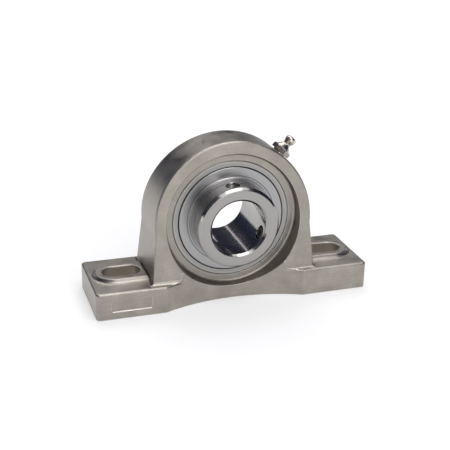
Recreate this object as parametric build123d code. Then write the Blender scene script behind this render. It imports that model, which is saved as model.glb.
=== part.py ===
from build123d import *
import math
import os

# Two-bolt pillow block with a self-aligning insert bearing for a 1 1/4 inch shaft.
# Millimetres. +X runs along the feet, the set screws face -Y, the shaft runs along Y,
# +Z is up. The origin is the middle of the two bolt slots, on the mounting plane.

# ---- housing: feet ---------------------------------------------------------------
shaft_height = 47.6        # mounting plane to shaft centre
foot_length = 163.0        # overall length of the base along X
foot_depth = 47.0          # width of each foot along Y
foot_height = 16.0         # top of the feet above the mounting plane
foot_corner_r = 2.5        # rounding of the upright corners of the feet
foot_edge_r = 1.2          # rounding of the top edges of the feet
sole_edge_r = 0.6          # rounding of the bottom edges
waist_depth = 29.8         # width of the base along Y in the middle, between the arcs
waist_span = 82.6          # length along X over which the two arcs cut into the base

# ---- housing: bolt slots and their pads --------------------------------------------
slot_spacing = 124.8       # slot centre to slot centre
slot_width = 13.6          # for M12 bolts
slot_length = 21.8         # end to end
pad_rise = 2.4             # machined pad above the foot
pad_depth = 21.8           # width of the flat top of the pad along Y
pad_flare_r = 3.0          # hollow fillet that runs the pad out into the foot
pad_flare_slope = 15.0     # degrees, the fillet meets the foot at this slope
pad_edge_r = 0.7           # broken edge of the pad and of the slot mouth
pad_wall_gap = 0.6         # groove left between pad and body

# ---- housing: body -------------------------------------------------------------------
dome_r = 46.3              # outer radius round the shaft
wall_taper = 5.4           # degrees, the side walls widen downwards
body_depth = 33.3          # thickness of the body along Y at the shaft
face_draft = 6.0           # degrees, the front and rear faces lean inwards upwards
body_edge_r = 0.9          # rounding of the cast body edges
root_r = 2.5               # hollow fillet between the body and the tops of the feet
root_sink = 0.12           # depth below the foot at which that fillet would end level
root_bite = 0.02           # the fillet starts this far inside the faces of the body
crease_r = 18.0            # soft edge where a face of the body turns into a waist arc
recess_floor_r = 39.15     # turned recess in both faces, where its wall meets its floor
recess_taper = 5.5         # degrees, the recess wall opens outwards
recess_corner_r = 1.6      # hollow corner between recess wall and floor
seat_depth = 20.0          # width of the machined seat between the two recess floors
panel_length = 23.5        # plain sunk field on the front of one foot
panel_height = 7.0
panel_corner_r = 0.8
panel_sink = 0.5

# ---- insert bearing: rings, balls -----------------------------------------------------
bore_d = 31.75             # shaft, one and a quarter inches
ring_od = 72.0             # spherical outside of the outer ring
ring_width = 20.0          # outer ring
sleeve_front = 25.4        # inner ring, raceway centre to the set-screw end
sleeve_rear = 17.5         # inner ring, raceway centre to the plain end
sleeve_od = 47.6           # outside of the inner ring
sleeve_chamfer = 1.4       # outer edge of the set-screw end
bore_chamfer = 1.3         # both ends of the bore
ball_d = 11.112            # seven sixteenths of an inch
ball_count = 9
pitch_d = 53.5             # circle of the ball centres
race_conformity = 0.52     # groove radius as a share of the ball diameter
outer_land_r = 30.2        # shoulders beside the outer raceway
ring_chamfer = 0.5         # outer edges of the outer ring

# ---- insert bearing: cage ----------------------------------------------------------------
cage_sheet = 0.8           # steel strip of each half
cage_width = 4.6           # radial width of the strip
rivet_d = 1.4
rivet_head_d = 2.6
rivet_head_rise = 0.5
rivet_head_bevel = 0.3

# ---- insert bearing: seals and flingers ------------------------------------------------
seal_bore_r = 31.5         # counterbore of the outer ring, beyond the seal groove
seal_groove_r = 32.0       # snap groove of the seal
seal_inset = 1.7           # face of the outer ring to the shoulder the seal sits on
seal_sheet = 0.55          # steel shell of the seal
seal_split_r = 27.0        # where the rubber takes over from the steel
lip_width = 1.2            # radial length of the thin part of the lip
lip_bevel = 0.1            # corner of the lip towards the balls
lip_crest = 0.15           # the lip stands this far proud of the seal's face
flinger_bevel = 0.2        # broken edges of the flinger's rim
flinger_root = 0.3         # chamfer between disc and collar
flinger_sheet = 0.8
flinger_stand = 0.25       # the flinger stands this far out of the outer ring
flinger_hub_rise = 0.8     # collar of the flinger beyond its disc
flinger_dish_r = 26.2      # where the disc steps in towards its collar
flinger_dish = 0.3

# ---- set screws ------------------------------------------------------------------------
screw_d = 8.0              # M8 x 1
screw_length = 5.8
screw_from_end = 6.4       # screw centre to the end face of the inner ring
screw_angle = 95.5         # degrees round the shaft from +X, as it stands
screw_spread = 120.0       # second screw, this much further round
screw_tip_depth = 0.25     # the tip stands back from the bore, ready for the shaft
screw_lead = 0.5           # chamfer at both ends
screw_socket_af = 4.0
screw_socket_depth = 2.8
screw_cup_d = 4.4
screw_cup_depth = 0.6
screw_mouth_chamfer = 0.35 # broken edge of the hole in the inner ring

# ---- grease nipple -----------------------------------------------------------------------
nipple_angle = 44.5        # degrees round the shaft from +X
grease_line = 4.0          # plane of the nipple, groove and holes, from the middle
nipple_thread_d = 8.0
nipple_thread_length = 6.0
nipple_thread_lead = 0.6   # chamfer at the end of the thread
nipple_stand = 0.8         # underside of the hexagon above the dome
nipple_hex_af = 10.4
nipple_hex_height = 2.9
nipple_hex_bevel = 0.5     # bevel of the hexagon's corners, above
nipple_hex_turn = 30.0     # degrees, how far the hexagon was screwed round
nipple_flare_d = 9.6       # foot of the cone above the hexagon
nipple_neck_d = 4.6
nipple_neck_rise = 5.9     # hexagon underside to the neck
nipple_neck_length = 0.4
nipple_head_d = 6.4
nipple_head_rise = 8.9     # hexagon underside to the widest part of the head
nipple_head_land = 0.6     # length of that widest part
nipple_tip_d = 3.9         # flat end of the head
nipple_length = 11.2       # hexagon underside to the tip
nipple_bore_d = 3.0
nipple_mouth_d = 1.9
nipple_mouth_land = 0.4    # straight part of the mouth
check_ball_d = 2.5
check_spring_wire = 0.35
check_spring_turns = 6
check_spring_gap = 0.15    # coils to the bore of the nipple
check_seat_rise = 1.0      # top of the spring's rest above the hexagon underside
check_rest_height = 0.7
grease_groove_width = 3.6
grease_groove_sink = 1.2
grease_passage_d = 4.0
ring_hole_d = 1.6          # grease holes through the outer ring
ring_hole_line = 5.4       # their distance from the middle of the ring

# ---- fits --------------------------------------------------------------------------------
seat_clearance = 0.02      # spherical seat to outer ring, on the radius
race_clearance = 0.015     # ball to raceway, on the radius
pocket_clearance = 0.12    # ball to cage
lip_clearance = 0.05       # seal lip to inner ring, on the radius
flinger_clearance = 0.6    # flinger rim to the bore of the outer ring
screw_clearance = 0.05     # set screw to its hole, on the radius
loading_clearance = 0.3    # loading notches to the outer ring, on each side
check_clearance = 0.02     # check ball to its seat
spring_clearance = 0.03    # check ball to the last coil

# ---- worked out from the above -----------------------------------------------------------
seat_r = ring_od / 2 + seat_clearance
seat_half = seat_depth / 2
ring_half = ring_width / 2
seal_shelf = ring_half - seal_inset
ball_r = ball_d / 2
pitch_r = pitch_d / 2
sleeve_r = sleeve_od / 2
bore_r = bore_d / 2
race_r = race_conformity * ball_d
inner_race_r = pitch_r - ball_r - race_clearance
outer_race_r = pitch_r + ball_r + race_clearance
pad_top = foot_height + pad_rise
ball_step = 360 / ball_count
waist_bite = (foot_depth - waist_depth) / 2
waist_arc_r = ((waist_span / 2) ** 2 + waist_bite**2) / (2 * waist_bite)
body_toe = foot_height / 2     # the body starts inside the base
tool_reach = foot_length       # length of tools that must pass right through the casting
drill_overlap = 1.0            # a drilled hole reaches this far into the hole it joins
same_place = 0.01              # corners and edges closer than this are taken as one place


def wall_half(height):
    """Half the length of the body along X at a height below the shaft."""
    taper = math.radians(wall_taper)
    tangent_z = shaft_height - dome_r * math.sin(taper)
    return dome_r * math.cos(taper) + (tangent_z - height) * math.tan(taper)


def face_half(height):
    """Half the thickness of the body along Y at a height."""
    return body_depth / 2 + (shaft_height - height) * math.tan(math.radians(face_draft))


def turned(outline):
    """A piece turned about the shaft axis; outlines are (radius, distance along Y)."""
    return Pos(0, 0, shaft_height) * revolve(make_face(outline), Axis.Y)


def round_shaft(angle, radius, y):
    """A place round the shaft whose own Z axis points straight away from the shaft."""
    turn = math.radians(angle)
    x = radius * math.cos(turn)
    z = shaft_height + radius * math.sin(turn)
    return Pos(x, y, z) * Rot(0, 90 - angle, 0)


def waist_arcs():
    """The two upright cylinders that hollow the casting in front and behind."""
    offset = waist_depth / 2 + waist_arc_r
    arc = Cylinder(waist_arc_r, 2 * tool_reach)
    return Pos(0, -offset, 0) * arc + Pos(0, offset, 0) * arc


def housing_base():
    """The two feet and the waist between them."""
    plan = RectangleRounded(foot_length, foot_depth, foot_corner_r)
    base = extrude(plan, foot_height) - waist_arcs()
    base = fillet(base.edges().group_by(Axis.Z)[-1], foot_edge_r)
    return fillet(base.edges().group_by(Axis.Z)[0], sole_edge_r)


def body_block():
    """A dome on side walls that widen downwards, between two leaning faces."""
    taper = math.radians(wall_taper)
    start_x = dome_r * math.cos(taper)
    start_z = shaft_height - dome_r * math.sin(taper)
    toe_x = wall_half(body_toe)
    toe_y = face_half(body_toe)
    crown_z = shaft_height + dome_r
    crown_y = face_half(crown_z)
    front_view = [
        Line((-toe_x, body_toe), (toe_x, body_toe)),
        Line((toe_x, body_toe), (start_x, start_z)),
        ThreePointArc((start_x, start_z), (0, crown_z), (-start_x, start_z)),
        Line((-start_x, start_z), (-toe_x, body_toe)),
    ]
    side_view = Polyline(
        (-toe_y, body_toe),
        (toe_y, body_toe),
        (crown_y, crown_z),
        (-crown_y, crown_z),
        close=True,
    )
    across = extrude(Plane.XZ * make_face(front_view), tool_reach, both=True)
    return across & extrude(Plane.YZ * make_face(side_view), tool_reach, both=True)


def housing_body():
    """The upright body with its cast edges rounded, hollowed by the waist arcs."""
    body = body_block()
    faces = body.faces().sort_by(Axis.Y)
    cast_edges = faces[0].edges() + faces[-1].edges()
    cast_edges = cast_edges.filter_by(lambda edge: edge.center().Z > body_toe + body_edge_r)
    body = fillet(cast_edges, body_edge_r) - waist_arcs()
    creases = []
    for face in body.faces().filter_by(GeomType.CYLINDER):
        if abs(face.center().X) < body_edge_r and abs(face.center().Y) > waist_depth / 4:
            creases.append(face.edges().sort_by(Axis.Z)[-1])
    return fillet(creases, crease_r)


def root_view(half_width):
    """One outline of the foot of the body, with the hollow fillets at both its sides."""
    level = foot_height - root_sink
    top = foot_height + 2 * root_r
    foot_x = half_width(level) - root_bite
    top_x = half_width(top) - root_bite
    plate_x = foot_x + 2 * root_r
    outline = Polyline(
        (-plate_x, body_toe),
        (plate_x, body_toe),
        (plate_x, level),
        (foot_x, level),
        (top_x, top),
        (-top_x, top),
        (-foot_x, level),
        (-plate_x, level),
        close=True,
    )
    view = make_face(outline)
    hollows = view.vertices().filter_by(lambda corner: abs(abs(corner.X) - foot_x) < same_place)
    return fillet(hollows, root_r)


def body_root():
    """The hollow fillet all round the foot of the body, above the tops of the feet."""
    front_view = extrude(Plane.XZ * root_view(wall_half), tool_reach, both=True)
    side_view = extrude(Plane.YZ * root_view(face_half), tool_reach, both=True)
    level = foot_height - root_sink / 2
    above = Pos(0, 0, level) * Box(
        2 * tool_reach,
        2 * tool_reach,
        2 * tool_reach,
        align=(Align.CENTER, Align.CENTER, Align.MIN),
    )
    root = front_view & side_view & above
    corners = root.edges().filter_by(
        lambda edge: abs(edge.center().X) > dome_r and abs(edge.center().Y) > waist_depth / 2
    )
    return fillet(corners, body_edge_r) - waist_arcs()


def bolt_pad(side):
    """A raised pad round one bolt slot, run out into the foot by a hollow fillet."""
    half = pad_depth / 2
    slot_end = slot_spacing / 2 + slot_length / 2 - slot_width / 2
    inner = wall_half(pad_top) + pad_wall_gap
    root = foot_height / 2
    slope = math.radians(pad_flare_slope)
    centre_z = foot_height + pad_flare_r * math.cos(slope)
    centre_y = half + math.sqrt(pad_flare_r**2 - (centre_z - pad_top) ** 2)
    toe = centre_y - pad_flare_r * math.sin(slope)
    halfway = math.radians(45)
    middle = (
        centre_y - pad_flare_r * math.sin(halfway),
        centre_z - pad_flare_r * math.cos(halfway),
    )
    section = [
        Line((0, root), (toe, root)),
        Line((toe, root), (toe, foot_height)),
        ThreePointArc((toe, foot_height), middle, (half, pad_top)),
        Line((half, pad_top), (0, pad_top)),
        Line((0, pad_top), (0, root)),
    ]
    section = make_face(section)
    outer_end = Pos(slot_end, 0, 0) * revolve(Plane.XZ * section, Axis.Z)
    outer_end &= Pos(slot_end + tool_reach / 2, 0, 0) * Box(tool_reach, tool_reach, tool_reach)
    straight = extrude(Plane.YZ * section, slot_end - inner)
    straight = Pos(inner, 0, 0) * (straight + mirror(straight, Plane.XZ))
    pad = straight + outer_end
    return pad if side > 0 else mirror(pad, Plane.YZ)


def pad_mouth_edges(housing):
    """The rims of the pads and of the slots, at the top of the pads."""
    return housing.edges().filter_by(lambda edge: abs(edge.center().Z - pad_top) < same_place)


def shaft_opening():
    """What is turned out of the body: spherical seat, seat faces and both recesses."""
    lip_r = math.sqrt(seat_r**2 - seat_half**2)
    mouth_y = seat_half + tool_reach
    mouth_r = recess_floor_r + tool_reach * math.tan(math.radians(recess_taper))
    outline = [
        Line((0, -mouth_y), (mouth_r, -mouth_y)),
        Line((mouth_r, -mouth_y), (recess_floor_r, -seat_half)),
        Line((recess_floor_r, -seat_half), (lip_r, -seat_half)),
        ThreePointArc((lip_r, -seat_half), (seat_r, 0), (lip_r, seat_half)),
        Line((lip_r, seat_half), (recess_floor_r, seat_half)),
        Line((recess_floor_r, seat_half), (mouth_r, mouth_y)),
        Line((mouth_r, mouth_y), (0, mouth_y)),
        Line((0, mouth_y), (0, -mouth_y)),
    ]
    opening = make_face(outline)
    corners = opening.vertices().filter_by(
        lambda corner: abs(corner.X - recess_floor_r) < same_place
    )
    return Pos(0, 0, shaft_height) * revolve(fillet(corners, recess_corner_r), Axis.Y)


def grease_groove():
    """The groove turned in the seat, which carries the grease round the outer ring."""
    half = grease_groove_width / 2
    floor_r = seat_r + grease_groove_sink
    start_r = outer_land_r
    outline = Polyline(
        (start_r, grease_line - half),
        (floor_r, grease_line - half),
        (floor_r, grease_line + half),
        (start_r, grease_line + half),
        close=True,
    )
    return turned(outline)


def loading_notches():
    """Two notches in the rear of the seat: the insert goes in edgeways and turns."""
    depth = face_half(0)
    notch_r = seat_r + seat_clearance
    across = ring_width + 2 * loading_clearance
    bar = Pos(0, depth / 2, shaft_height) * Box(4 * notch_r, depth, across)
    barrel = Pos(0, depth / 2, shaft_height) * Rot(90, 0, 0) * Cylinder(notch_r, depth)
    return bar & barrel


def nipple_hole():
    """Threaded hole for the nipple and the passage from it to the grease groove."""
    seat = dome_r + nipple_stand - nipple_thread_length
    thread = Cylinder(
        nipple_thread_d / 2,
        2 * nipple_thread_length,
        align=(Align.CENTER, Align.CENTER, Align.MIN),
    )
    passage = Cylinder(
        grease_passage_d / 2,
        seat - seat_r + drill_overlap,
        align=(Align.CENTER, Align.CENTER, Align.MIN),
    )
    threaded = round_shaft(nipple_angle, seat, grease_line) * thread
    return threaded + round_shaft(nipple_angle, seat_r, grease_line) * passage


def blank_panel():
    """A plain sunk field on the front of the left foot, with no lettering in it."""
    middle_x = -(waist_span / 2 + foot_length / 2) / 2
    field = RectangleRounded(panel_length, panel_height, panel_corner_r)
    face = Plane.XZ.offset(foot_depth / 2) * Pos(middle_x, foot_height / 2) * field
    return extrude(face, -panel_sink)


def make_housing():
    """The cast stainless housing, one piece: feet, waist, body and pads, then machined."""
    housing = housing_base() + housing_body() + body_root()
    for side in (-1, 1):
        housing += bolt_pad(side)
    for side in (-1, 1):
        slot = Pos(side * slot_spacing / 2, 0) * SlotOverall(slot_length, slot_width)
        housing -= extrude(slot, tool_reach)
    housing = fillet(pad_mouth_edges(housing), pad_edge_r)
    housing -= shaft_opening()
    housing -= grease_groove()
    housing -= loading_notches()
    housing -= nipple_hole()
    return housing - blank_panel()


def groove_half(race_bottom_r, land_r):
    """Half the width of a raceway groove where it meets its shoulders."""
    centre_r = race_bottom_r + race_r if land_r > race_bottom_r else race_bottom_r - race_r
    return math.sqrt(race_r**2 - (land_r - centre_r) ** 2)


def make_outer_ring():
    """Spherical outside, one deep groove inside, seal grooves at both ends."""
    od_r = ring_od / 2
    edge_y = ring_half - ring_chamfer
    edge_r = math.sqrt(od_r**2 - edge_y**2)
    face_r = edge_r - ring_chamfer
    snap_y = seal_shelf + seal_sheet
    race_y = groove_half(outer_race_r, outer_land_r)
    outline = [
        ThreePointArc((edge_r, -edge_y), (od_r, 0), (edge_r, edge_y)),
        Polyline(
            (edge_r, edge_y),
            (face_r, ring_half),
            (seal_bore_r, ring_half),
            (seal_bore_r, snap_y),
            (seal_groove_r, snap_y),
            (seal_groove_r, seal_shelf),
            (outer_land_r, seal_shelf),
            (outer_land_r, race_y),
        ),
        ThreePointArc((outer_land_r, race_y), (outer_race_r, 0), (outer_land_r, -race_y)),
        Polyline(
            (outer_land_r, -race_y),
            (outer_land_r, -seal_shelf),
            (seal_groove_r, -seal_shelf),
            (seal_groove_r, -snap_y),
            (seal_bore_r, -snap_y),
            (seal_bore_r, -ring_half),
            (face_r, -ring_half),
            (edge_r, -edge_y),
        ),
    ]
    ring = turned(outline)
    drill_length = od_r - inner_race_r
    drill = Cylinder(ring_hole_d / 2, drill_length)
    for angle in (nipple_angle, nipple_angle + 180):
        ring -= round_shaft(angle, (od_r + outer_land_r) / 2, ring_hole_line) * drill
    return ring


def screw_place(number, radius):
    """Where a set screw stands; its own Z axis points out of its mouth."""
    angle = screw_angle - number * screw_spread
    return round_shaft(angle, radius, screw_from_end - sleeve_front)


def make_inner_ring():
    """The long sleeve that the shaft goes through, with the inner raceway on it."""
    race_y = groove_half(inner_race_r, sleeve_r)
    outline = [
        Polyline(
            (sleeve_r, -race_y),
            (sleeve_r, -sleeve_front + sleeve_chamfer),
            (sleeve_r - sleeve_chamfer, -sleeve_front),
            (bore_r + bore_chamfer, -sleeve_front),
            (bore_r, -sleeve_front + bore_chamfer),
            (bore_r, sleeve_rear - bore_chamfer),
            (bore_r + bore_chamfer, sleeve_rear),
            (sleeve_r - bore_chamfer, sleeve_rear),
            (sleeve_r, sleeve_rear - bore_chamfer),
            (sleeve_r, race_y),
        ),
        ThreePointArc((sleeve_r, race_y), (inner_race_r, 0), (sleeve_r, -race_y)),
    ]
    ring = turned(outline)
    drill = Cylinder(screw_d / 2, 2 * (sleeve_r - bore_r))
    mouth_r = screw_d / 2 + screw_mouth_chamfer
    mouth = Cone(mouth_r - sleeve_chamfer, mouth_r + sleeve_chamfer, 2 * sleeve_chamfer)
    for number in range(2):
        ring -= screw_place(number, (sleeve_r + bore_r) / 2) * drill
        ring -= screw_place(number, sleeve_r) * mouth
    return ring


def make_set_screw(number):
    """Cup-point set screw with a hexagon socket, in its hole in the inner ring."""
    radius = screw_d / 2 - screw_clearance
    outline = Polyline(
        (0, screw_cup_depth),
        (screw_cup_d / 2, 0),
        (radius - screw_lead, 0),
        (radius, screw_lead),
        (radius, screw_length - screw_lead),
        (radius - screw_lead, screw_length),
        (0, screw_length),
        close=True,
    )
    screw = revolve(Plane.XZ * make_face(outline), Axis.Z)
    socket = RegularPolygon(screw_socket_af / 2, 6, major_radius=False)
    screw -= Pos(0, 0, screw_length - screw_socket_depth) * extrude(socket, screw_socket_depth)
    return screw_place(number, bore_r + screw_tip_depth) * screw


def make_ball(number):
    """One bearing ball on the pitch circle."""
    angle = 90 - number * ball_step
    return round_shaft(angle, pitch_r, 0) * Sphere(ball_r)


def rivet_places():
    """Midway between the balls, each with its Z axis along the shaft."""
    places = []
    for number in range(ball_count):
        turn = math.radians(90 - (number + 0.5) * ball_step)
        x = pitch_r * math.cos(turn)
        z = shaft_height + pitch_r * math.sin(turn)
        places.append(Pos(x, 0, z) * Rot(90, 0, 0))
    return places


def make_cage_half(side):
    """One pressed half of the cage: a flat ring with a cup round each ball."""
    inner_r = pitch_r - cage_width / 2
    outer_r = pitch_r + cage_width / 2
    hollow_r = ball_r + pocket_clearance
    cup_r = hollow_r + cage_sheet
    strip = Polyline(
        (inner_r, 0),
        (outer_r, 0),
        (outer_r, cage_sheet),
        (inner_r, cage_sheet),
        close=True,
    )
    band = Polyline(
        (inner_r, 0),
        (outer_r, 0),
        (outer_r, cup_r),
        (inner_r, cup_r),
        close=True,
    )
    spots = [round_shaft(90 - number * ball_step, pitch_r, 0) for number in range(ball_count)]
    cups = [spot * Sphere(cup_r) for spot in spots]
    hollows = [spot * Sphere(hollow_r) for spot in spots]
    holes = [spot * Cylinder(rivet_d / 2, 4 * cage_sheet) for spot in rivet_places()]
    half = (turned(strip) + cups) & turned(band)
    half -= hollows
    half -= holes
    return half if side > 0 else mirror(half, Plane.XZ)


def make_rivets():
    """The rivets that hold the two cage halves together, as a group."""
    head_r = rivet_head_d / 2
    crown_r = head_r - rivet_head_bevel
    top = cage_sheet + rivet_head_rise
    outline = Polyline(
        (0, -top),
        (crown_r, -top),
        (head_r, -cage_sheet),
        (rivet_d / 2, -cage_sheet),
        (rivet_d / 2, cage_sheet),
        (head_r, cage_sheet),
        (crown_r, top),
        (0, top),
        close=True,
    )
    rivet = revolve(Plane.XZ * make_face(outline), Axis.Z)
    return Compound(children=[place * rivet for place in rivet_places()])


def make_seal_shell(side):
    """Steel shell of a seal, snapped into the groove of the outer ring."""
    outline = Polyline(
        (seal_split_r, seal_shelf),
        (seal_groove_r, seal_shelf),
        (seal_groove_r, seal_shelf + seal_sheet),
        (seal_split_r, seal_shelf + seal_sheet),
        close=True,
    )
    shell = turned(outline)
    return shell if side > 0 else mirror(shell, Plane.XZ)


def make_seal_lip(side):
    """Rubber moulded to the inner edge of the shell; its lip runs on the inner ring."""
    face_y = seal_shelf + seal_sheet
    tip_r = sleeve_r + lip_clearance
    outline = Polyline(
        (seal_split_r, seal_shelf),
        (seal_split_r, face_y),
        (tip_r + lip_width, face_y),
        (tip_r + 2 * lip_crest, face_y + lip_crest),
        (tip_r, face_y),
        (tip_r + lip_width / 2, seal_shelf + lip_bevel),
        (tip_r + lip_width, seal_shelf),
        close=True,
    )
    lip = turned(outline)
    return lip if side > 0 else mirror(lip, Plane.XZ)


def make_flinger(side):
    """Pressed steel disc on the inner ring that throws dirt off the seal."""
    face_y = ring_half + flinger_stand
    back_y = face_y - flinger_sheet
    hub_r = sleeve_r + flinger_sheet
    rim_r = seal_bore_r - flinger_clearance
    outline = Polyline(
        (sleeve_r, back_y - flinger_dish),
        (flinger_dish_r, back_y - flinger_dish),
        (flinger_dish_r + flinger_dish, back_y),
        (rim_r - flinger_bevel, back_y),
        (rim_r, back_y + flinger_bevel),
        (rim_r, face_y - flinger_bevel),
        (rim_r - flinger_bevel, face_y),
        (flinger_dish_r, face_y),
        (flinger_dish_r - flinger_dish, face_y - flinger_dish),
        (hub_r + flinger_root, face_y - flinger_dish),
        (hub_r, face_y - flinger_dish + flinger_root),
        (hub_r, face_y + flinger_hub_rise),
        (sleeve_r, face_y + flinger_hub_rise),
        close=True,
    )
    flinger = turned(outline)
    return flinger if side > 0 else mirror(flinger, Plane.XZ)


def nipple_place():
    """The underside of the nipple's hexagon; Z points out of the nipple."""
    return round_shaft(nipple_angle, dome_r + nipple_stand, grease_line)


def check_ball_height():
    """Centre of the check ball when it closes the mouth of the nipple."""
    bore_radius = nipple_bore_d / 2
    cone_top = nipple_length - nipple_mouth_land
    cone_foot = cone_top - (bore_radius - nipple_mouth_d / 2)
    touch = (check_ball_d / 2 + check_clearance) * math.sqrt(2)
    return cone_foot + bore_radius - touch


def nipple_hexagon():
    """The hexagon a spanner grips, with bevelled corners."""
    corner_r = nipple_hex_af / math.sqrt(3)
    bevel_r = corner_r - nipple_hex_bevel
    bevel = Polyline(
        (0, 0),
        (corner_r, 0),
        (corner_r, nipple_hex_height - nipple_hex_bevel),
        (bevel_r, nipple_hex_height),
        (0, nipple_hex_height),
        close=True,
    )
    flats = RegularPolygon(nipple_hex_af / 2, 6, major_radius=False, rotation=nipple_hex_turn)
    hexagon = extrude(flats, nipple_hex_height)
    hexagon &= revolve(Plane.XZ * make_face(bevel), Axis.Z)
    return hexagon - Cylinder(nipple_bore_d / 2, 2 * nipple_length)


def make_nipple_body():
    """Turned grease nipple: thread, hexagon, cone, neck and the head a coupler grips."""
    bore_radius = nipple_bore_d / 2
    mouth_r = nipple_mouth_d / 2
    cone_top = nipple_length - nipple_mouth_land
    cone_foot = cone_top - (bore_radius - mouth_r)
    thread_r = nipple_thread_d / 2
    flare_r = nipple_flare_d / 2
    neck_r = nipple_neck_d / 2
    head_r = nipple_head_d / 2
    tip_r = nipple_tip_d / 2
    head_foot = nipple_head_rise - nipple_head_land / 2
    head_top = nipple_head_rise + nipple_head_land / 2
    slant = math.radians(45)
    nose = (
        tip_r + (head_r - tip_r) * math.cos(slant),
        head_top + (nipple_length - head_top) * math.sin(slant),
    )
    outline = [
        Polyline(
            (bore_radius, -nipple_thread_length),
            (thread_r - nipple_thread_lead, -nipple_thread_length),
            (thread_r, -nipple_thread_length + nipple_thread_lead),
            (thread_r, nipple_hex_height / 2),
            (flare_r, nipple_hex_height / 2),
            (flare_r, nipple_hex_height),
            (neck_r, nipple_neck_rise),
            (neck_r, nipple_neck_rise + nipple_neck_length),
            (head_r, head_foot),
            (head_r, head_top),
        ),
        ThreePointArc((head_r, head_top), nose, (tip_r, nipple_length)),
        Polyline(
            (tip_r, nipple_length),
            (mouth_r, nipple_length),
            (mouth_r, cone_top),
            (bore_radius, cone_foot),
            (bore_radius, -nipple_thread_length),
        ),
    ]
    body = revolve(Plane.XZ * make_face(outline), Axis.Z)
    return nipple_place() * (body + nipple_hexagon())


def make_check_rest():
    """Pressed-in ring at the foot of the spring."""
    outer = nipple_bore_d / 2
    inner = nipple_bore_d / 4
    ring = Cylinder(outer, check_rest_height) - Cylinder(inner, check_rest_height)
    return nipple_place() * Pos(0, 0, check_seat_rise - check_rest_height / 2) * ring


def make_check_spring():
    """Coil spring that holds the check ball against its seat."""
    wire_r = check_spring_wire / 2
    coil_r = nipple_bore_d / 2 - check_spring_gap - wire_r
    foot_z = check_seat_rise + wire_r
    drop = math.sqrt((check_ball_d / 2 + wire_r) ** 2 - coil_r**2)
    rise = check_ball_height() - drop - spring_clearance - foot_z
    path = Helix(rise / check_spring_turns, rise, coil_r)
    start = Plane(path @ 0, z_dir=path % 0)
    wire = sweep(start * Circle(wire_r), path)
    return nipple_place() * Pos(0, 0, foot_z) * wire


def make_check_ball():
    """Ball that closes the nipple until a grease gun pushes it in."""
    return nipple_place() * Pos(0, 0, check_ball_height()) * Sphere(check_ball_d / 2)


pieces = {
    "housing": make_housing(),
    "outer_ring": make_outer_ring(),
    "inner_ring": make_inner_ring(),
    "cage_front_half": make_cage_half(-1),
    "cage_rear_half": make_cage_half(1),
    "cage_rivets": make_rivets(),
    "front_seal_shell": make_seal_shell(-1),
    "rear_seal_shell": make_seal_shell(1),
    "front_seal_lip": make_seal_lip(-1),
    "rear_seal_lip": make_seal_lip(1),
    "front_flinger": make_flinger(-1),
    "rear_flinger": make_flinger(1),
    "set_screw_top": make_set_screw(0),
    "set_screw_side": make_set_screw(1),
    "nipple_body": make_nipple_body(),
    "nipple_spring_rest": make_check_rest(),
    "nipple_spring": make_check_spring(),
    "nipple_check_ball": make_check_ball(),
}
for number in range(ball_count):
    pieces[f"ball_{number + 1}"] = make_ball(number)

os.makedirs("parts", exist_ok=True)
for name, piece in pieces.items():
    export_step(piece, f"parts/{name}.step")
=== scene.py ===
import math

import bpy
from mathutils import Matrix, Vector

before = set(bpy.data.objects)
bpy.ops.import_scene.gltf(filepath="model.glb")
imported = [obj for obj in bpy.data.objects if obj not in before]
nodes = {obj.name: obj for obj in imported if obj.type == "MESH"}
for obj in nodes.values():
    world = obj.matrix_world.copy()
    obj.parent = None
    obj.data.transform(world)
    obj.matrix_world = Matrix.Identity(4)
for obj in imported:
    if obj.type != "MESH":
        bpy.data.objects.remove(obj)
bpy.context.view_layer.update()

# ---- camera -----------------------------------------------------------------------------
# A longish lens, level to within about a degree. It stands in front of the block, a little
# to its left and above it, and looks down at the bearing.
view = bpy.data.cameras.new("view")
view.lens = 76.2624
view.sensor_width = 36.0
view.sensor_fit = "HORIZONTAL"
view.clip_start = 0.01
camera = bpy.data.objects.new("view", view)
camera.location = (-0.163957, -0.48844, 0.248977)
camera.rotation_euler = (math.radians(67.8988), math.radians(-1.075), math.radians(-18.0988))
bpy.context.scene.collection.objects.link(camera)
bpy.context.scene.camera = camera

# ---- housing ----------------------------------------------------------------------------
# One stainless casting, tumbled to a satin skin: feet, waist, body and pads in one piece.
# The slot pads, the seat and the recesses round the bearing are machined afterwards.


def new_group(name, inputs, outputs):
    """An empty shader group with the given sockets, and its input and output nodes."""
    group = bpy.data.node_groups.new(name, "ShaderNodeTree")
    for label, kind, value in inputs:
        socket = group.interface.new_socket(label, in_out="INPUT", socket_type=kind)
        socket.default_value = value
    for label, kind in outputs:
        group.interface.new_socket(label, in_out="OUTPUT", socket_type=kind)
    start = group.nodes.new("NodeGroupInput")
    end = group.nodes.new("NodeGroupOutput")
    return group, start, end


def add(tree, kind, settings=None, values=None):
    """A new node in a tree, with its settings and the values of its input sockets."""
    node = tree.nodes.new(kind)
    for name, value in (settings or {}).items():
        setattr(node, name, value)
    for name, value in (values or {}).items():
        node.inputs[name].default_value = value
    return node


def maths(tree, operation, first, second=None, clamp=False):
    """A Math node fed by sockets or by plain numbers."""
    node = add(tree, "ShaderNodeMath", {"operation": operation, "use_clamp": clamp})
    for slot, source in enumerate((first, second)):
        if source is None:
            continue
        if isinstance(source, (int, float)):
            node.inputs[slot].default_value = source
        else:
            tree.links.new(source, node.inputs[slot])
    return node.outputs[0]


mm_per_metre = 1000.0


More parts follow.
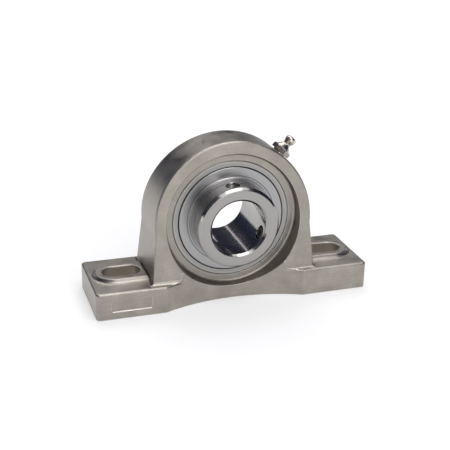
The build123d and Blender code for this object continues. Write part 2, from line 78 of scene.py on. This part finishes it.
def make_cast_skin():
    """Fine grain, pits and soft waves of a tumbled casting, with a slow drift of its colour."""
    group, start, end = new_group(
        "cast_skin",
        [
            ("Grain per mm", "NodeSocketFloat", 1.6),
            ("Wave per mm", "NodeSocketFloat", 0.12),
            ("Grain share", "NodeSocketFloat", 0.5),
        ],
        [
            ("Height", "NodeSocketFloat"),
            ("Drift", "NodeSocketFloat"),
            ("Grain", "NodeSocketFloat"),
            ("Pits", "NodeSocketFloat"),
        ],
    )
    place = add(group, "ShaderNodeTexCoord")
    millimetres = add(group, "ShaderNodeVectorMath", {"operation": "SCALE"},
                      {"Scale": mm_per_metre})
    group.links.new(place.outputs["Object"], millimetres.inputs[0])
    grain = add(group, "ShaderNodeTexNoise", None, {"Detail": 5.0, "Roughness": 0.62})
    wave = add(group, "ShaderNodeTexNoise", None, {"Detail": 2.0, "Roughness": 0.45})
    for texture, rate in ((grain, "Grain per mm"), (wave, "Wave per mm")):
        group.links.new(millimetres.outputs[0], texture.inputs["Vector"])
        group.links.new(start.outputs[rate], texture.inputs["Scale"])
    pits = add(group, "ShaderNodeTexVoronoi", {"feature": "SMOOTH_F1"}, {"Smoothness": 0.4})
    group.links.new(millimetres.outputs[0], pits.inputs["Vector"])
    group.links.new(start.outputs["Grain per mm"], pits.inputs["Scale"])
    fine = maths(group, "MULTIPLY", grain.outputs["Fac"], start.outputs["Grain share"])
    height = maths(group, "ADD", fine, wave.outputs["Fac"])
    group.links.new(height, end.inputs["Height"])
    group.links.new(wave.outputs["Fac"], end.inputs["Drift"])
    group.links.new(grain.outputs["Fac"], end.inputs["Grain"])
    group.links.new(pits.outputs["Distance"], end.inputs["Pits"])
    return group


def make_edge_wear():
    """Where an edge is worn bright: the share by which a rounded normal leaves the face."""
    group, start, end = new_group(
        "edge_wear",
        [("Width", "NodeSocketFloat", 0.0006), ("Gain", "NodeSocketFloat", 6.0)],
        [("Mask", "NodeSocketFloat"), ("Normal", "NodeSocketVector")],
    )
    rounded = add(group, "ShaderNodeBevel", {"samples": 6})
    group.links.new(start.outputs["Width"], rounded.inputs["Radius"])
    face = add(group, "ShaderNodeNewGeometry")
    turn = add(group, "ShaderNodeVectorMath", {"operation": "DOT_PRODUCT"})
    group.links.new(rounded.outputs["Normal"], turn.inputs[0])
    group.links.new(face.outputs["Normal"], turn.inputs[1])
    away = maths(group, "SUBTRACT", 1.0, turn.outputs["Value"])
    mask = maths(group, "MULTIPLY", away, start.outputs["Gain"], clamp=True)
    group.links.new(mask, end.inputs["Mask"])
    group.links.new(rounded.outputs["Normal"], end.inputs["Normal"])
    return group


def make_belt_streaks():
    """Streaks of an abrasive belt: across the depth of the casting, fainter along its front."""
    group, start, end = new_group(
        "belt_streaks",
        [("Lines per mm", "NodeSocketFloat", 1.8), ("Breaks per mm", "NodeSocketFloat", 0.05)],
        [("Lines", "NodeSocketFloat")],
    )
    place = add(group, "ShaderNodeTexCoord")
    split = add(group, "ShaderNodeSeparateXYZ")
    group.links.new(place.outputs["Object"], split.inputs[0])
    facing = add(group, "ShaderNodeSeparateXYZ")
    group.links.new(place.outputs["Normal"], facing.inputs[0])
    front = maths(group, "ABSOLUTE", facing.outputs["Y"])
    middle = 0.5               # mean level of a noise texture
    changeover = 0.6           # how far a wall faces front where one direction gives way
    changeover_steepness = 3.0
    across_gain = 1.0
    along_front_gain = 0.6
    total = middle
    for fine_axis, sign, edge, gain in (
        ("Y", -1.0, changeover, across_gain),
        ("Z", 1.0, -changeover, along_front_gain),
    ):
        join = add(group, "ShaderNodeCombineXYZ")
        for axis in "XYZ":
            rate = start.outputs["Lines per mm" if axis == fine_axis else "Breaks per mm"]
            millimetres = maths(group, "MULTIPLY", split.outputs[axis], mm_per_metre)
            group.links.new(maths(group, "MULTIPLY", millimetres, rate), join.inputs[axis])
        lines = add(group, "ShaderNodeTexNoise", None,
                    {"Scale": 1.0, "Detail": 4.0, "Roughness": 0.7})
        group.links.new(join.outputs[0], lines.inputs["Vector"])
        share = maths(group, "ADD", maths(group, "MULTIPLY", front, sign), edge)
        share = maths(group, "MULTIPLY", share, changeover_steepness, clamp=True)
        level = maths(group, "SUBTRACT", lines.outputs["Fac"], middle)
        level = maths(group, "MULTIPLY", level, share)
        total = maths(group, "ADD", maths(group, "MULTIPLY", level, gain), total)
    group.links.new(total, end.inputs["Lines"])
    return group


cast_skin = make_cast_skin()
edge_wear = make_edge_wear()
belt_streaks = make_belt_streaks()


def new_material(name):
    """A material with its shader and output, ready for its own nodes."""
    material = bpy.data.materials.new(name)
    material.use_nodes = True
    tree = material.node_tree
    tree.nodes.clear()
    shader = tree.nodes.new("ShaderNodeBsdfPrincipled")
    output = tree.nodes.new("ShaderNodeOutputMaterial")
    tree.links.new(shader.outputs["BSDF"], output.inputs["Surface"])
    return material, tree, shader


def group_node(tree, group, values=None):
    """One of the shared groups placed in a material with its own values."""
    return add(tree, "ShaderNodeGroup", {"node_tree": group}, values)


def ramp(tree, source, low, high, start=0.0, end=1.0):
    """A colour or grey that runs from low to high while the source goes from start to end."""
    node = tree.nodes.new("ShaderNodeValToRGB")
    for stop, place, tone in zip(node.color_ramp.elements, (start, end), (low, high)):
        stop.position = place
        stop.color = (*tone, 1.0) if isinstance(tone, tuple) else (tone, tone, tone, 1.0)
    tree.links.new(source, node.inputs["Fac"])
    return node.outputs["Color"]


def dress(name, material):
    """Gives a carried-over node its material."""
    mesh = nodes[name].data
    mesh.materials.clear()
    mesh.materials.append(material)


def multiply(tree, first, second):
    """The product of two colours."""
    mix = add(tree, "ShaderNodeMix", {"data_type": "RGBA", "blend_type": "MULTIPLY"})
    mix.inputs["Factor"].default_value = 1.0
    tree.links.new(first, mix.inputs["A"])
    tree.links.new(second, mix.inputs["B"])
    return mix.outputs["Result"]


def wear_and_painted_light_mix(tree, mask, tone, bright):
    """A tone that turns into another under a mask: worn edges, painted light in the slots,
    painted shade on the screw points, the nipple's darker hexagon foot.
    """
    mix = add(tree, "ShaderNodeMix", {"data_type": "RGBA"})
    mix.inputs["B"].default_value = (*bright, 1.0)
    tree.links.new(mask, mix.inputs["Factor"])
    tree.links.new(tone, mix.inputs["A"])
    return mix.outputs["Result"]


def slot_wall_painted_light_mask(tree):
    """One on the milled walls of the two bolt slots, where the skin is lightened as painted
    light.
    """
    slot_from_middle = 0.0624
    slot_half_length = 0.01095     # a hair over the slot's own, so that its wall is inside
    slot_half_width = 0.00685
    wall_top = 0.0179              # just inside the broken edge of the slot's mouth
    place = add(tree, "ShaderNodeTexCoord")
    split = add(tree, "ShaderNodeSeparateXYZ")
    tree.links.new(place.outputs["Object"], split.inputs[0])
    along = maths(tree, "ABSOLUTE", split.outputs["X"])
    along = maths(tree, "ABSOLUTE", maths(tree, "SUBTRACT", along, slot_from_middle))
    inside = maths(tree, "LESS_THAN", along, slot_half_length)
    across = maths(tree, "ABSOLUTE", split.outputs["Y"])
    across = maths(tree, "LESS_THAN", across, slot_half_width)
    below = maths(tree, "LESS_THAN", split.outputs["Z"], wall_top)
    return maths(tree, "MULTIPLY", maths(tree, "MULTIPLY", inside, across), below)


def make_satin_cast():
    """Tumbled and belt-finished cast stainless steel, warm grey with brighter edges."""
    material, tree, shader = new_material("satin_cast_stainless")
    skin = group_node(tree, cast_skin, {"Grain per mm": 1.1, "Wave per mm": 0.11})
    belt = group_node(tree, belt_streaks)
    wear = group_node(tree, edge_wear, {"Width": 0.0007, "Gain": 5.0})
    dark_cast = (0.355, 0.327, 0.288)
    light_cast = (0.462, 0.429, 0.382)
    rubbed_edge = (0.66, 0.63, 0.59)
    # painted light: a lighter colour on the walls of the bolt slots
    slot_painted_light = (0.53, 0.495, 0.445)
    tone = ramp(tree, skin.outputs["Drift"], dark_cast, light_cast, start=0.25, end=0.75)
    grain_tone = ramp(tree, skin.outputs["Grain"], low=0.86, high=1.0, start=0.3, end=0.7)
    tone = multiply(tree, tone, grain_tone)
    belt_tone = ramp(tree, belt.outputs["Lines"], low=0.84, high=1.0, start=0.35, end=0.65)
    tone = multiply(tree, tone, belt_tone)
    tone = wear_and_painted_light_mix(tree, wear.outputs["Mask"], tone, rubbed_edge)
    # painted light inside the bolt slots
    tone = wear_and_painted_light_mix(tree, slot_wall_painted_light_mask(tree), tone, slot_painted_light)
    tree.links.new(tone, shader.inputs["Base Color"])
    rough = maths(tree, "ADD", skin.outputs["Drift"], belt.outputs["Lines"])
    rough = ramp(tree, rough, low=0.28, high=0.40, start=0.7, end=1.0)
    tree.links.new(rough, shader.inputs["Roughness"])
    shader.inputs["Metallic"].default_value = 1.0
    bump = add(tree, "ShaderNodeBump", None, {"Strength": 0.25, "Distance": 0.00012})
    tree.links.new(skin.outputs["Height"], bump.inputs["Height"])
    tree.links.new(wear.outputs["Normal"], bump.inputs["Normal"])
    grooves = add(tree, "ShaderNodeBump", None, {"Strength": 0.2, "Distance": 0.00008})
    tree.links.new(belt.outputs["Lines"], grooves.inputs["Height"])
    tree.links.new(bump.outputs["Normal"], grooves.inputs["Normal"])
    tree.links.new(grooves.outputs["Normal"], shader.inputs["Normal"])
    return material


satin_cast = make_satin_cast()
dress("housing", satin_cast)

# ---- outer ring -------------------------------------------------------------------------
# Hardened bearing steel, ground all over, with a spherical outside that swivels in the
# housing's seat. Only its narrow end face shows, between the seat and the flinger.


shaft_height = 0.0476


def make_turning_marks():
    """Fine grooves round the shaft axis, as a cutting or grinding tool leaves them."""
    group, start, end = new_group(
        "turning_marks",
        [
            ("Centre height", "NodeSocketFloat", shaft_height),
            ("Grooves per mm", "NodeSocketFloat", 6.0),
        ],
        [("Height", "NodeSocketFloat"), ("Streaks", "NodeSocketFloat")],
    )
    place = add(group, "ShaderNodeTexCoord")
    split = add(group, "ShaderNodeSeparateXYZ")
    group.links.new(place.outputs["Object"], split.inputs[0])
    rise = maths(group, "SUBTRACT", split.outputs["Z"], start.outputs["Centre height"])
    sideways = maths(group, "POWER", maths(group, "ABSOLUTE", split.outputs["X"]), 2.0)
    upwards = maths(group, "POWER", maths(group, "ABSOLUTE", rise), 2.0)
    radius = maths(group, "SQRT", maths(group, "ADD", sideways, upwards))
    radius = maths(group, "MULTIPLY", radius, mm_per_metre)
    along = maths(group, "MULTIPLY", split.outputs["Y"], mm_per_metre)
    angle = maths(group, "ARCTAN2", rise, split.outputs["X"])
    wander_per_radian = 0.35
    wander = maths(group, "MULTIPLY", angle, wander_per_radian)
    join = add(group, "ShaderNodeCombineXYZ")
    for measure, axis in ((radius, "X"), (along, "Y")):
        lines = maths(group, "MULTIPLY", measure, start.outputs["Grooves per mm"])
        group.links.new(lines, join.inputs[axis])
    group.links.new(wander, join.inputs["Z"])
    grooves = add(group, "ShaderNodeTexNoise", None,
                  {"Scale": 1.0, "Detail": 3.0, "Roughness": 0.6})
    group.links.new(join.outputs[0], grooves.inputs["Vector"])
    broad = add(group, "ShaderNodeTexNoise", None, {"Scale": 0.12, "Detail": 2.0})
    group.links.new(join.outputs[0], broad.inputs["Vector"])
    group.links.new(grooves.outputs["Fac"], end.inputs["Height"])
    group.links.new(broad.outputs["Fac"], end.inputs["Streaks"])
    return group


turning_marks = make_turning_marks()


def make_turned_steel(name, dark, light, rough, grooves_per_mm, groove_strength, edge_width,
                      edge_gain=4.0, worn=(0.72, 0.71, 0.69)):
    """Turned or ground bearing steel: grooves round the shaft, streaks and bright edges."""
    material, tree, shader = new_material(name)
    marks = group_node(tree, turning_marks, {"Grooves per mm": grooves_per_mm})
    wear = group_node(tree, edge_wear, {"Width": edge_width, "Gain": edge_gain})
    tone = ramp(tree, marks.outputs["Streaks"], dark, light, start=0.35, end=0.65)
    tone = wear_and_painted_light_mix(tree, wear.outputs["Mask"], tone, worn)
    tree.links.new(tone, shader.inputs["Base Color"])
    roughness = ramp(tree, marks.outputs["Streaks"], *rough, start=0.35, end=0.65)
    tree.links.new(roughness, shader.inputs["Roughness"])
    shader.inputs["Metallic"].default_value = 1.0
    bump = add(tree, "ShaderNodeBump", None,
               {"Strength": groove_strength, "Distance": 0.00004})
    tree.links.new(marks.outputs["Height"], bump.inputs["Height"])
    tree.links.new(wear.outputs["Normal"], bump.inputs["Normal"])
    tree.links.new(bump.outputs["Normal"], shader.inputs["Normal"])
    return material


ring_steel = make_turned_steel(
    "ground_ring_steel", dark=(0.305, 0.296, 0.285), light=(0.385, 0.376, 0.361),
    rough=(0.30, 0.36), grooves_per_mm=5.0, groove_strength=0.25, edge_width=0.0003,
)
dress("outer_ring", ring_steel)

# ---- inner ring -------------------------------------------------------------------------
# The long sleeve that the shaft slides into, of hardened bearing steel. Its end faces are
# ground, its outside is polished and its bore is honed.
sleeve_steel = make_turned_steel(
    "polished_sleeve_steel", dark=(0.345, 0.333, 0.322), light=(0.368, 0.356, 0.345),
    rough=(0.15, 0.18), grooves_per_mm=6.0, groove_strength=0.012, edge_width=0.0008,
    edge_gain=1.0, worn=(0.5, 0.49, 0.48),
)
dress("inner_ring", sleeve_steel)

# ---- flingers ---------------------------------------------------------------------------
# Thin stainless sheet pressed into a dished disc with a collar. One is pushed onto the
# sleeve at each side, where it turns with the shaft and throws dirt off the seal.
flinger_sheet = make_turned_steel(
    "pressed_flinger_sheet", dark=(0.350, 0.347, 0.350), light=(0.388, 0.384, 0.386),
    rough=(0.28, 0.34), grooves_per_mm=4.0, groove_strength=0.05, edge_width=0.0002,
)
for name in ("front_flinger", "rear_flinger"):
    dress(name, flinger_sheet)

# ---- seals ------------------------------------------------------------------------------
# A steel shell is snapped into a groove of the outer ring at each side, its colour painted
# near-black as the shade in the gap round the flinger. A nitrile rubber lip, moulded on its
# inner edge, runs close to the sleeve.
# painted shade: a near-black shell colour that darkens the gap round the flinger
seal_shell_painted_shade = make_turned_steel(
    "seal_shell_painted_near_black", dark=(0.015, 0.015, 0.015), light=(0.03, 0.03, 0.03),
    rough=(0.45, 0.55), grooves_per_mm=4.0, groove_strength=0.2, edge_width=0.0001,
    edge_gain=0.3,
)
for name in ("front_seal_shell", "rear_seal_shell"):
    dress(name, seal_shell_painted_shade)


def make_nitrile():
    """Matt black nitrile rubber with the fine grain of its mould."""
    material, tree, shader = new_material("moulded_nitrile")
    skin = group_node(tree, cast_skin, {"Grain per mm": 4.0, "Wave per mm": 0.6})
    black = (0.012, 0.012, 0.012)
    off_black = (0.024, 0.023, 0.022)
    tone = ramp(tree, skin.outputs["Drift"], black, off_black, start=0.3, end=0.7)
    tree.links.new(tone, shader.inputs["Base Color"])
    rough = ramp(tree, skin.outputs["Pits"], low=0.5, high=0.7, start=0.2, end=0.8)
    tree.links.new(rough, shader.inputs["Roughness"])
    bump = add(tree, "ShaderNodeBump", None, {"Strength": 0.3, "Distance": 0.00003})
    tree.links.new(skin.outputs["Height"], bump.inputs["Height"])
    tree.links.new(bump.outputs["Normal"], shader.inputs["Normal"])
    return material


nitrile = make_nitrile()
for name in ("front_seal_lip", "rear_seal_lip"):
    dress(name, nitrile)

# ---- balls, cage and rivets -------------------------------------------------------------
# Nine lapped balls of bearing steel run between the two rings. Their cage is two pressed
# steel strips with a cup round each ball, held together by nine rivets.
ball_count = 9
ball_steel = make_turned_steel(
    "lapped_ball_steel", dark=(0.55, 0.55, 0.55), light=(0.6, 0.6, 0.6),
    rough=(0.06, 0.09), grooves_per_mm=1.0, groove_strength=0.02, edge_width=0.0001,
)
for number in range(ball_count):
    dress(f"ball_{number + 1}", ball_steel)
cage_strip = make_turned_steel(
    "pressed_cage_strip", dark=(0.38, 0.375, 0.36), light=(0.46, 0.455, 0.44),
    rough=(0.32, 0.42), grooves_per_mm=2.0, groove_strength=0.2, edge_width=0.0002,
)
for name in ("cage_front_half", "cage_rear_half", "cage_rivets"):
    dress(name, cage_strip)

# ---- set screws -------------------------------------------------------------------------
# Two cup-point screws of turned stainless steel with hexagon sockets, set 120 degrees apart
# in the sleeve. They lock it to the shaft; their points, down in the bore, are painted
# near-black as shade.
screw_steel = make_turned_steel(
    "turned_screw_steel", dark=(0.45, 0.44, 0.43), light=(0.58, 0.57, 0.555),
    rough=(0.36, 0.46), grooves_per_mm=3.0, groove_strength=0.2, edge_width=0.0003,
)


def darken_by_distance(material, centre, full, none, dark, axis=None):
    """Darkens a steel's colour: fully at one distance from a point and not at all at another.

    The distance is measured along the axis where one is given, and else in any direction.
    """
    tree = material.node_tree
    shader = tree.nodes["Principled BSDF"]
    place = add(tree, "ShaderNodeTexCoord")
    offset = add(tree, "ShaderNodeVectorMath", {"operation": "SUBTRACT"})
    offset.inputs[1].default_value = centre
    tree.links.new(place.outputs["Object"], offset.inputs[0])
    if axis is None:
        measure = add(tree, "ShaderNodeVectorMath", {"operation": "LENGTH"})
    else:
        measure = add(tree, "ShaderNodeVectorMath", {"operation": "DOT_PRODUCT"})
        measure.inputs[1].default_value = axis
    tree.links.new(offset.outputs[0], measure.inputs[0])
    darkening = add(tree, "ShaderNodeMapRange", None,
               {"From Min": full, "From Max": none, "To Min": 1.0, "To Max": 0.0})
    tree.links.new(measure.outputs["Value"], darkening.inputs["Value"])
    tone = shader.inputs["Base Color"].links[0].from_socket
    tree.links.new(wear_and_painted_light_mix(tree, darkening.outputs["Result"], tone, dark), shader.inputs["Base Color"])


screw_plane_y = -0.019         # both screws stand in this plane, square to the shaft
# painted shade: the points of the screws, down in the bore, are darkened to near-black
darken_by_distance(
    screw_steel, centre=(0.0, screw_plane_y, shaft_height), full=0.0175, none=0.0185,
    dark=(0.02, 0.02, 0.022),
)
for name in ("set_screw_top", "set_screw_side"):
    dress(name, screw_steel)

# ---- grease nipple ----------------------------------------------------------------------
# Turned from bright bar and plated, and screwed into the dome. A spring-loaded ball closes
# its head, and the foot of its hexagon is dark.
nipple_shoulder = (0.033594, 0.004, 0.080613)     # middle of the hexagon's underside
nipple_axis = (0.71325, 0.0, 0.70091)
nipple_steel = make_turned_steel(
    "plated_nipple_steel", dark=(0.49, 0.45, 0.40), light=(0.61, 0.57, 0.51),
    rough=(0.22, 0.32), grooves_per_mm=2.5, groove_strength=0.2, edge_width=0.0003,
)
darken_by_distance(
    nipple_steel, centre=nipple_shoulder, full=0.0018, none=0.0034,
    dark=(0.33, 0.29, 0.25), axis=nipple_axis,
)
for name in ("nipple_body", "nipple_spring_rest"):
    dress(name, nipple_steel)
dress("nipple_check_ball", ball_steel)
spring_wire = make_turned_steel(
    "drawn_spring_wire", dark=(0.40, 0.40, 0.40), light=(0.5, 0.5, 0.5),
    rough=(0.25, 0.35), grooves_per_mm=3.0, groove_strength=0.2, edge_width=0.0001,
)
dress("nipple_spring", spring_wire)

# ---- floor and lamps --------------------------------------------------------------------
# A plain white table in a dark, slightly blue room; the camera and the metal see the same
# table. Softboxes hang overhead, in front, at the left and high at the back, and three
# small tinted lamps stand at the left and behind.
bpy.ops.object.select_all(action="DESELECT")
table_radius = 12.0
table_drop = 0.0001            # keeps the table just clear of the feet
bpy.ops.mesh.primitive_circle_add(
    vertices=96, radius=table_radius, fill_type="NGON", location=(0, 0, -table_drop)
)
bpy.ops.object.transform_apply(location=True, rotation=True, scale=True)
floor = bpy.context.object
floor.name = "table"
paint = bpy.data.materials.new("white_table")
paint.use_nodes = True
tree = paint.node_tree
tree.nodes.clear()
matt = add(tree, "ShaderNodeBsdfDiffuse", None, {"Color": (0.58, 0.58, 0.58, 1.0)})
glow = add(tree, "ShaderNodeEmission", None, {"Color": (1.0, 1.0, 1.0, 1.0)})
path = add(tree, "ShaderNodeLightPath")
seen = maths(tree, "ADD", path.outputs["Is Camera Ray"], path.outputs["Is Glossy Ray"])
seen = maths(tree, "ADD", seen, path.outputs["Is Transmission Ray"], clamp=True)
place = add(tree, "ShaderNodeTexCoord")
reach = add(tree, "ShaderNodeVectorMath", {"operation": "LENGTH"})
tree.links.new(place.outputs["Object"], reach.inputs[0])
near, near_glow = 0.10, 0.46    # beside the block the lamps give the rest of the white
far, far_glow = 1.8, 1.0        # out here they give next to none of it
level = add(tree, "ShaderNodeMapRange", None,
            {"From Min": near, "From Max": far, "To Min": near_glow, "To Max": far_glow})
tree.links.new(reach.outputs["Value"], level.inputs["Value"])
tree.links.new(maths(tree, "MULTIPLY", seen, level.outputs["Result"]), glow.inputs["Strength"])
both = add(tree, "ShaderNodeAddShader")
output = add(tree, "ShaderNodeOutputMaterial")
tree.links.new(matt.outputs[0], both.inputs[0])
tree.links.new(glow.outputs[0], both.inputs[1])
tree.links.new(both.outputs[0], output.inputs["Surface"])
floor.data.materials.append(paint)

room = bpy.data.worlds.new("dark_room")
bpy.context.scene.world = room
room.use_nodes = True
walls = room.node_tree.nodes["Background"]
walls.inputs["Color"].default_value = (0.030, 0.034, 0.062, 1.0)
walls.inputs["Strength"].default_value = 1.0

bearing_middle = (0.0, 0.0, 0.05)


def softbox(name, place, size, power, tint=(1.0, 1.0, 1.0)):
    """A rectangular lamp that faces the middle of the bearing."""
    light = bpy.data.lights.new(name, "AREA")
    light.shape = "RECTANGLE"
    light.size, light.size_y = size
    light.energy = power
    light.color = tint
    lamp = bpy.data.objects.new(name, light)
    lamp.location = place
    away = Vector(place) - Vector(bearing_middle)
    lamp.rotation_euler = away.to_track_quat("Z", "Y").to_euler()
    bpy.context.scene.collection.objects.link(lamp)


softbox("overhead", place=(0.10, -0.45, 1.0), size=(0.55, 0.45), power=2.7)
softbox("overhead_rim", place=(0.10, -0.46, 1.02), size=(1.2, 1.0), power=5.2)
softbox("front", place=(0.12, -1.55, 0.57), size=(0.80, 0.8), power=6.2)
softbox("left_fill", place=(-1.0, -0.6, 1.0), size=(1.2, 1.2), power=0.3)
softbox("rear_left", place=(-0.70, 1.35, 0.28), size=(0.6, 0.4), power=0.02,
        tint=(0.35, 0.5, 1.0))
softbox("rear_low", place=(-0.02, 1.45, 0.80), size=(0.09, 0.24), power=0.11,
        tint=(1.0, 0.92, 0.95))
softbox("rear_high", place=(0.10, 0.85, 1.40), size=(1.8, 1.2), power=16.0)
softbox("left", place=(-1.2, -0.5, 0.14), size=(0.11, 0.2), power=0.16,
        tint=(1.0, 0.97, 0.93))

bpy.context.scene.view_settings.view_transform = "Standard"
